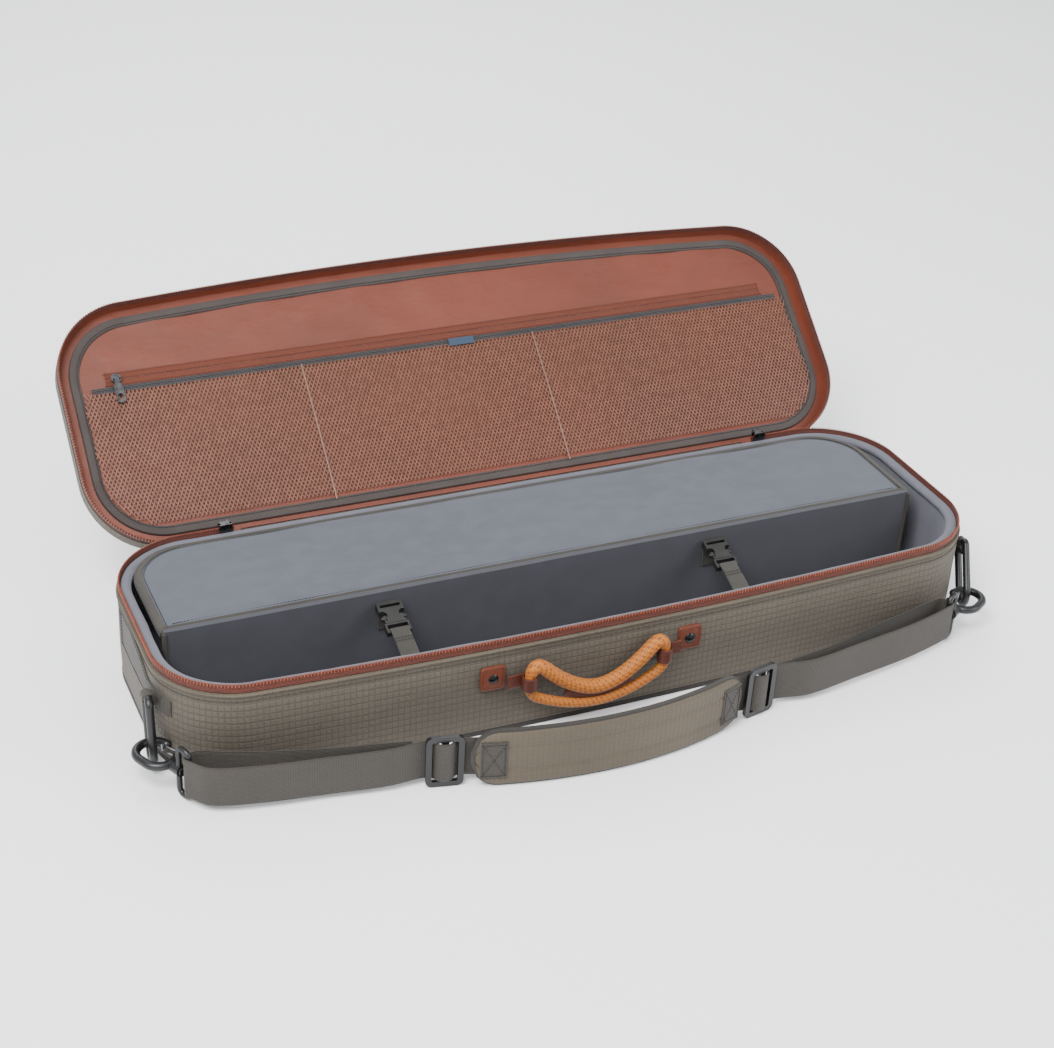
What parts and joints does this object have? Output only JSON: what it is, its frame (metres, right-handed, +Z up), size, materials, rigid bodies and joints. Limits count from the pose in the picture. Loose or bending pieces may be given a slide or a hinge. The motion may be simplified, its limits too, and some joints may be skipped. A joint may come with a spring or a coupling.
{
  "type": "fly rod case",
  "caption": "Padded fabric travel case for sectioned fishing rods, with a zip-round hinged lid, divided tray, cover flap, buckled tie-downs, rope handle and clip-on shoulder strap.",
  "frame": {"origin": "middle of the underside of the tray, on the ground", "axes": "+X along the case, to the right seen from the handle; +Y from the handle side to the lid hinge; +Z up"},
  "size_m": [0.8156, 0.548, 0.2485],
  "materials": {
    "shell_fabric": "ripstop, matte",
    "band_fabric": "plain webbing, matte",
    "board": "stiffener board",
    "foam": "closed-cell foam padding",
    "grey_lining": "brushed tricot",
    "piping": "cord piping",
    "dark_binding": "bias tape",
    "zip_rust": "woven zip tape",
    "coil_rust": "nylon zip coil",
    "panel_fabric": "brushed suede-like knit",
    "olive_binding": "bias tape",
    "buckle_plastic": "moulded acetal",
    "tie_webbing": "ribbed webbing",
    "leather_rust": "smooth leather",
    "rivet_black": "black dome",
    "rope_orange": "braided cord",
    "black_plastic": "moulded, satin",
    "gate_steel": "bright wire",
    "strap_webbing": "woven webbing",
    "pad_fabric": "padded ribbed fabric",
    "gunmetal": "gunmetal plating",
    "rust_lining": "coated nylon",
    "mesh_tan": "open diamond mesh",
    "label_blue": "plain woven tab"
  },
  "bodies": {
    "tray": {"tray_shell": "shell_fabric", "base_panel": "band_fabric", "base_board": "board", "tray_foam": "foam", "tray_lining": "grey_lining", "rim_lip": "grey_lining", "tray_piping": "piping", "base_binding": "dark_binding", "tray_zip_tape": "zip_rust", "tray_zip_coil": "coil_rust", "hinge_tape": "shell_fabric", "end_band_left": "band_fabric", "end_band_right": "band_fabric", "divider_wall": "panel_fabric", "divider_binding": "olive_binding", "buckle_female_left": "buckle_plastic", "buckle_female_right": "buckle_plastic", "tie_strap_left": "tie_webbing", "tie_strap_right": "tie_webbing", "handle_tabs": "leather_rust", "handle_rivets": "rivet_black", "strap_eye_left": "black_plastic", "strap_eye_right": "black_plastic", "strap_webbing_left": "strap_webbing", "strap_webbing_right": "strap_webbing", "tri_glide_left": "black_plastic", "tri_glide_right": "black_plastic", "shoulder_pad": "pad_fabric", "pad_patches": "strap_webbing"},
    "lid": {"lid_shell": "shell_fabric", "lid_foam": "foam", "lid_lining": "rust_lining", "lid_side": "rust_lining", "lid_zip_tape": "zip_rust", "lid_zip_coil": "coil_rust", "lid_binding": "olive_binding", "lid_hinge_strip": "rust_lining", "pocket_zip": "zip_rust", "mesh_panel": "mesh_tan", "mesh_band": "olive_binding", "pocket_label": "label_blue"},
    "flap": {"flap_top": "panel_fabric", "flap_binding": "olive_binding"},
    "handle": {"handle_loops": "leather_rust", "handle_rope": "rope_orange", "handle_grip": "leather_rust"},
    "ring_left": {"ring_left": "black_plastic"},
    "ring_right": {"ring_right": "black_plastic"},
    "hook_left": {"hook_left": "black_plastic"},
    "hook_right": {"hook_right": "black_plastic"},
    "gate_left": {"gate_left": "gate_steel"},
    "gate_right": {"gate_right": "gate_steel"},
    "buckle_male_left": {"buckle_male_left": "buckle_plastic"},
    "buckle_male_right": {"buckle_male_right": "buckle_plastic"},
    "main_slider_left": {"main_slider_left": "gunmetal"},
    "main_slider_right": {"main_slider_right": "gunmetal"},
    "main_pull_left": {"main_pull_left": "gunmetal"},
    "main_pull_right": {"main_pull_right": "gunmetal"},
    "pocket_slider": {"pocket_slider": "gunmetal"},
    "pocket_pull": {"pocket_pull": "gunmetal"}
  },
  "joints": [
    {"name": "lid_hinge", "type": "hinge", "parent": "tray", "child": "lid", "pos_m": [0, 0.1214, 0.0896], "axis": [1, 0, 0], "range_deg": [0, 139.5]},
    {"name": "flap_hinge", "type": "hinge", "parent": "tray", "child": "flap", "pos_m": [-0.0065, -0.02425, 0.097], "axis": [-1, 0, 0], "range_deg": [-165, 0]},
    {"name": "handle_swing", "type": "hinge", "parent": "tray", "child": "handle", "pos_m": [-0.024, -0.1434, 0.07], "axis": [-1, 0, 0], "range_deg": [0, 150]},
    {"name": "pocket_zip_slide", "type": "slide", "parent": "lid", "child": "pocket_slider", "axis": [1, 0, 0], "range_m": [0, 0.672]},
    {"name": "pocket_pull_swing", "type": "hinge", "parent": "pocket_slider", "child": "pocket_pull", "pos_m": [-0.336, 0.2608, 0.18814], "axis": [1, 0, 0], "range_deg": [-150, 0]},
    {"name": "main_zip_left_slide", "type": "slide", "parent": "tray", "child": "main_slider_left", "axis": [-1, 0, 0], "range_m": [0, 0.034]},
    {"name": "main_zip_right_slide", "type": "slide", "parent": "tray", "child": "main_slider_right", "axis": [1, 0, 0], "range_m": [0, 0.034]},
    {"name": "main_pull_left_swing", "type": "hinge", "parent": "main_slider_left", "child": "main_pull_left", "pos_m": [-0.276, 0.125, 0.0976], "axis": [1, 0, 0], "range_deg": [0, 15]},
    {"name": "main_pull_right_swing", "type": "hinge", "parent": "main_slider_right", "child": "main_pull_right", "pos_m": [0.276, 0.125, 0.0976], "axis": [1, 0, 0], "range_deg": [0, 15]},
    {"name": "buckle_left_release", "type": "slide", "parent": "tray", "child": "buckle_male_left", "axis": [0, -0.9397, -0.342], "range_m": [0, 0.016]},
    {"name": "buckle_right_release", "type": "slide", "parent": "tray", "child": "buckle_male_right", "axis": [0, -0.9397, -0.342], "range_m": [0, 0.016]},
    {"name": "ring_left_swing", "type": "hinge", "parent": "tray", "child": "ring_left", "pos_m": [-0.39699, -0.06972, 0.066], "axis": [0.0978, 0.9732, -0.2079], "range_deg": [-1.5, 6]},
    {"name": "ring_right_swing", "type": "hinge", "parent": "tray", "child": "ring_right", "pos_m": [0.39225, -0.07922, 0.061], "axis": [-0.272, -0.7396, 0.6157], "range_deg": [-1.5, 5]},
    {"name": "hook_left_swivel", "type": "hinge", "parent": "tray", "child": "hook_left", "pos_m": [-0.38, -0.1324, 0.0255], "axis": [-0.4194, 0.9078, 0], "range_deg": [-5, 14]},
    {"name": "hook_right_swivel", "type": "hinge", "parent": "tray", "child": "hook_right", "pos_m": [0.338, -0.1434, 0.0255], "axis": [0.8599, 0.5105, 0], "range_deg": [-5, 14]},
    {"name": "gate_left_press", "type": "hinge", "parent": "hook_left", "child": "gate_left", "pos_m": [-0.38178, -0.09991, 0.0255], "axis": [0, 0, 1], "range_deg": [0, 18], "stiffness_Nm_per_rad": 0.02, "springref_deg": -11.46},
    {"name": "gate_right_press", "type": "hinge", "parent": "hook_right", "child": "gate_right", "pos_m": [0.35787, -0.11763, 0.0255], "axis": [0, 0, -1], "range_deg": [0, 18], "stiffness_Nm_per_rad": 0.02, "springref_deg": -11.46}
  ]
}
